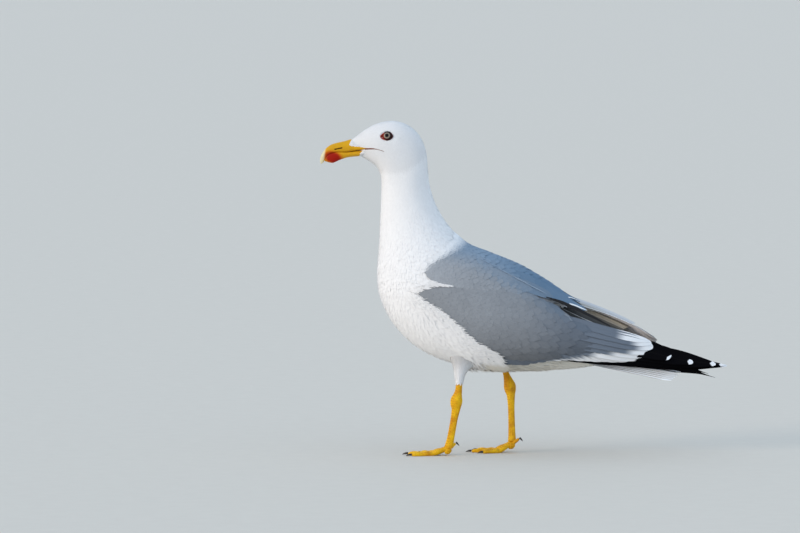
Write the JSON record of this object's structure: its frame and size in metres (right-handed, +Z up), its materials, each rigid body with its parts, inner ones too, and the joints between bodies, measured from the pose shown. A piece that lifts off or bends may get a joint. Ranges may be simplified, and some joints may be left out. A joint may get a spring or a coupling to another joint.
{
  "type": "yellow-legged gull model",
  "caption": "Life-size still model of an adult yellow-legged gull standing mid-step with its wings folded, resting on its own webbed feet.",
  "frame": {"origin": "centre of the bounding box at floor level, under the soles of the feet", "axes": "+Z up; the bird looks along -X and its tail points along +X; its left side faces -Y"},
  "size_m": [0.5293, 0.1385, 0.4334],
  "materials": {
    "plumage_white": "soft matte white plumage",
    "plumage_grey": "soft matte grey plumage, black quill ends with white tips",
    "bill": "smooth yellow horn with a red spot",
    "eye": "glossy pale eye with a black pupil",
    "leg": "scaled yellow skin",
    "claw": "dark horn"
  },
  "bodies": {
    "root": {"head": "plumage_white", "neck": "plumage_white", "torso": "plumage_white", "thigh_left": "plumage_white", "thigh_right": "plumage_white", "tail": "plumage_white", "mantle": "plumage_grey", "wing_left": "plumage_grey", "wing_right": "plumage_grey", "bill_upper": "bill", "bill_lower": "bill", "eye_left": "eye", "eye_right": "eye", "shank_left": "leg", "shank_right": "leg", "foot_left": "leg", "foot_right": "leg", "claw_left_inner": "claw", "claw_left_middle": "claw", "claw_left_outer": "claw", "claw_left_hallux": "claw", "claw_right_inner": "claw", "claw_right_middle": "claw", "claw_right_outer": "claw", "claw_right_hallux": "claw"}
  },
  "joints": []
}
